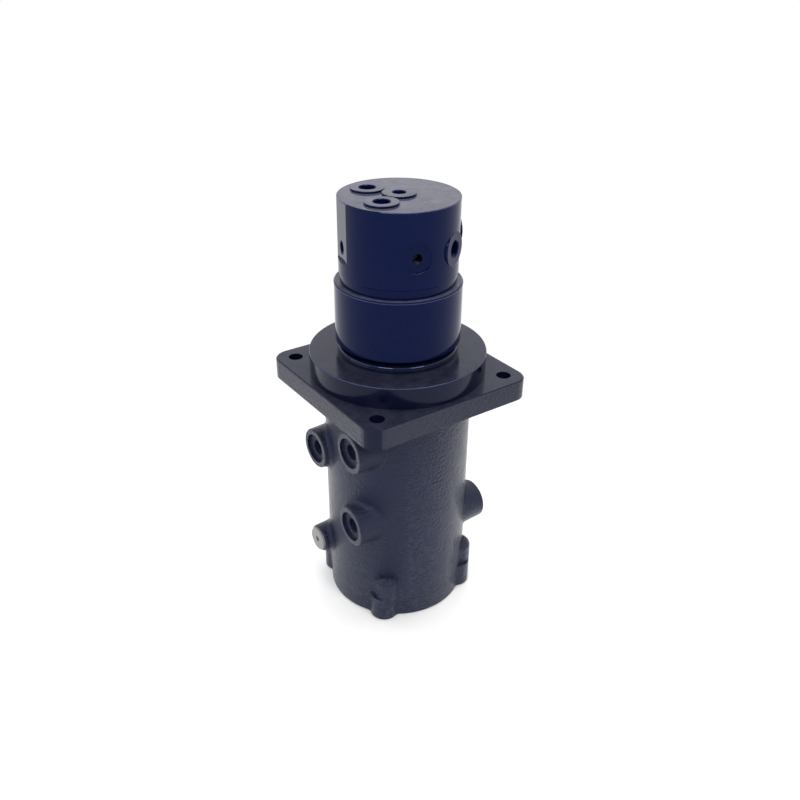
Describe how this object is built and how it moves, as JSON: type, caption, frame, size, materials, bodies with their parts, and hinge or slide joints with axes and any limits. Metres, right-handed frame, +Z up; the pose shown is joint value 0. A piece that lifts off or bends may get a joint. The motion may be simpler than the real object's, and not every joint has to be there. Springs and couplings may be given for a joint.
{
  "type": "hydraulic rotary union",
  "caption": "Upright hydraulic rotary union: cast barrel with side port bosses, square bolting flange with a round pad, and a turning stem with top and side ports.",
  "frame": {"origin": "centre of the face of the bottom cover that the union stands on, on the turning axis", "axes": "+Z up along the turning axis, from the cover to the stem head; X and Y square to the sides of the flange, with the ports of the housing facing -X and +X"},
  "size_m": [0.182, 0.182, 0.4286],
  "materials": {
    "casting_paint": "gloss paint over a rough casting",
    "stem_paint": "gloss paint over turned steel",
    "seal_paint": "painted over",
    "fitting_paint": "gloss paint",
    "plug_washer_metal": "soft copper washer",
    "bolt_steel": "black oxide",
    "plate_steel": "ground",
    "seal_rubber": "matt black",
    "thrust_bronze": "satin",
    "slipper_plastic": "filled fluoroplastic, satin"
  },
  "bodies": {
    "housing_assembly": {"housing": "casting_paint", "bottom_cover": "casting_paint", "cover_bolts": "bolt_steel", "cover_spring_washers": "bolt_steel", "cover_seal_ring": "seal_rubber", "dust_seal": "seal_paint", "port_plug": "fitting_paint", "port_plug_washer": "plug_washer_metal", "lower_thrust_washer": "thrust_bronze", "slipper_ring_1": "slipper_plastic", "slipper_ring_2": "slipper_plastic", "slipper_ring_3": "slipper_plastic", "slipper_ring_4": "slipper_plastic", "slipper_ring_5": "slipper_plastic", "slipper_ring_6": "slipper_plastic", "slipper_ring_7": "slipper_plastic", "energizer_ring_1": "seal_rubber", "energizer_ring_2": "seal_rubber", "energizer_ring_3": "seal_rubber", "energizer_ring_4": "seal_rubber", "energizer_ring_5": "seal_rubber", "energizer_ring_6": "seal_rubber", "energizer_ring_7": "seal_rubber"},
    "stem_assembly": {"stem": "stem_paint", "passage_plugs": "bolt_steel", "retainer_plate": "plate_steel", "retainer_screws": "bolt_steel", "upper_thrust_washer": "thrust_bronze"}
  },
  "joints": [
    {"name": "stem_rotation", "type": "hinge", "parent": "housing_assembly", "child": "stem_assembly", "pos_m": [0, 0, 0.2], "axis": [0, 0, 1], "continuous": true}
  ]
}
